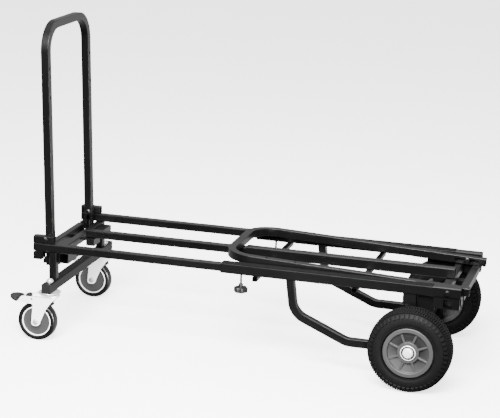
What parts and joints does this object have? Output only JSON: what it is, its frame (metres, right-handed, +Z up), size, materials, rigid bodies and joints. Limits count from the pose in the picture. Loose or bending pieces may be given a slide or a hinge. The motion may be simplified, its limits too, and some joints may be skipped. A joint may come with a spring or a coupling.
{
  "type": "folding utility cart",
  "caption": "Low black telescoping utility cart of square tube, with fold-down U handles, large rear tyres on a fixed axle and braked swivel casters in front.",
  "frame": {"origin": "on the floor under the centre of the overall box at rest", "axes": "+Z up; +X along the deck from the swivel casters to the large tyres; -Y is the near side in the picture"},
  "size_m": [1.481, 0.6694, 1.0259],
  "materials": {
    "rail_paint": "black powder coat on square steel tube",
    "handle_paint": "black powder coat on square steel tube",
    "grip_black": "coarse black non-slip strip",
    "knob_black": "black moulded plastic",
    "dark_bolt": "black oxide steel",
    "zinc": "bright zinc plate",
    "chrome": "polished",
    "hub_grey": "grey moulded hub",
    "core_grey": "grey moulded wheel disc",
    "ring_white": "white moulded ring",
    "tyre_rubber": "black rubber"
  },
  "bodies": {
    "rear_frame": {"outer_rail_near": "rail_paint", "outer_rail_far": "rail_paint", "outer_rail_centre": "rail_paint", "grip_strip_near": "grip_black", "grip_strip_far": "grip_black", "cross_tube_front": "rail_paint", "cross_tube_back": "rail_paint", "back_stop_tube": "rail_paint", "back_bar": "rail_paint", "end_plate_near": "rail_paint", "end_plate_far": "rail_paint", "strut_near": "rail_paint", "strut_far": "rail_paint", "wheel_post_near": "rail_paint", "wheel_post_far": "rail_paint", "axle": "zinc", "axle_spacer_near": "zinc", "axle_spacer_far": "zinc", "axle_cap_near": "chrome", "axle_cap_far": "chrome"},
    "front_frame": {"inner_rail_near": "rail_paint", "inner_rail_far": "rail_paint", "inner_rail_centre": "rail_paint", "riser_near": "rail_paint", "riser_far": "rail_paint", "front_bar": "rail_paint", "front_stop_tube": "rail_paint", "front_post_near": "rail_paint", "front_post_far": "rail_paint", "caster_beam": "rail_paint", "centre_block": "rail_paint", "king_bolt_near": "zinc", "king_bolt_far": "zinc", "swivel_race_near": "zinc", "swivel_race_far": "zinc"},
    "front_pivots": {"front_pivot_bolt_near": "dark_bolt", "front_pivot_bolt_far": "dark_bolt"},
    "front_handle": {"handle_front": "handle_paint"},
    "back_pivots": {"back_pivot_bolt_near": "dark_bolt", "back_pivot_bolt_far": "dark_bolt"},
    "back_handle": {"handle_back": "handle_paint"},
    "rear_wheel_near": {"rear_tyre_near": "tyre_rubber", "wheel_hub_near": "hub_grey"},
    "lock_knob_near": {"lock_knob_near": "knob_black"},
    "caster_fork_near": {"caster_fork_near": "zinc", "caster_axle_near": "zinc"},
    "caster_wheel_near": {"caster_core_near": "core_grey", "caster_ring_near": "ring_white", "caster_tyre_near": "tyre_rubber"},
    "brake_pedal_near": {"brake_pedal_near": "knob_black"},
    "rear_wheel_far": {"rear_tyre_far": "tyre_rubber", "wheel_hub_far": "hub_grey"},
    "lock_knob_far": {"lock_knob_far": "knob_black"},
    "caster_fork_far": {"caster_fork_far": "zinc", "caster_axle_far": "zinc"},
    "caster_wheel_far": {"caster_core_far": "core_grey", "caster_ring_far": "ring_white", "caster_tyre_far": "tyre_rubber"},
    "brake_pedal_far": {"brake_pedal_far": "knob_black"}
  },
  "joints": [
    {"name": "deck_slide", "type": "slide", "parent": "rear_frame", "child": "front_frame", "axis": [1, 0, 0], "range_m": [0, 0.4]},
    {"name": "front_handle_turn", "type": "hinge", "parent": "front_frame", "child": "front_pivots", "pos_m": [-0.63505, 0, 0.3294], "axis": [0, 1, 0], "range_deg": [0, 80]},
    {"name": "front_handle_lift", "type": "slide", "parent": "front_pivots", "child": "front_handle", "axis": [-0.0293, 0, 0.9996], "range_m": [0, 0.07]},
    {"name": "back_handle_turn", "type": "hinge", "parent": "rear_frame", "child": "back_pivots", "pos_m": [0.6791, 0, 0.3002], "axis": [0, 1, 0], "range_deg": [0, 87.5]},
    {"name": "back_handle_lift", "type": "slide", "parent": "back_pivots", "child": "back_handle", "axis": [-0.9992, 0, 0.0394], "range_m": [0, 0.035]},
    {"name": "rear_wheel_spin_near", "type": "hinge", "parent": "rear_frame", "child": "rear_wheel_near", "pos_m": [0.58645, -0.2851, 0.13], "axis": [0, 1, 0], "continuous": true},
    {"name": "knob_turn_near", "type": "hinge", "parent": "rear_frame", "child": "lock_knob_near", "pos_m": [0.02445, -0.211, 0.25], "axis": [0, 0, -1], "range_deg": [0, 360]},
    {"name": "caster_swivel_near", "type": "hinge", "parent": "front_frame", "child": "caster_fork_near", "pos_m": [-0.60505, -0.251, 0.155], "axis": [0, 0, 1], "continuous": true},
    {"name": "caster_spin_near", "type": "hinge", "parent": "caster_fork_near", "child": "caster_wheel_near", "pos_m": [-0.64605, -0.251, 0.0645], "axis": [0, 1, 0], "continuous": true},
    {"name": "brake_press_near", "type": "hinge", "parent": "caster_fork_near", "child": "brake_pedal_near", "pos_m": [-0.65855, -0.251, 0.14115], "axis": [0, -1, 0], "range_deg": [0, 4]},
    {"name": "rear_wheel_spin_far", "type": "hinge", "parent": "rear_frame", "child": "rear_wheel_far", "pos_m": [0.58645, 0.2851, 0.13], "axis": [0, 1, 0], "continuous": true},
    {"name": "knob_turn_far", "type": "hinge", "parent": "rear_frame", "child": "lock_knob_far", "pos_m": [0.02445, 0.211, 0.25], "axis": [0, 0, -1], "range_deg": [0, 360]},
    {"name": "caster_swivel_far", "type": "hinge", "parent": "front_frame", "child": "caster_fork_far", "pos_m": [-0.60505, 0.251, 0.155], "axis": [0, 0, 1], "continuous": true},
    {"name": "caster_spin_far", "type": "hinge", "parent": "caster_fork_far", "child": "caster_wheel_far", "pos_m": [-0.64605, 0.251, 0.0645], "axis": [0, 1, 0], "continuous": true},
    {"name": "brake_press_far", "type": "hinge", "parent": "caster_fork_far", "child": "brake_pedal_far", "pos_m": [-0.65855, 0.251, 0.14115], "axis": [0, -1, 0], "range_deg": [0, 4]}
  ]
}
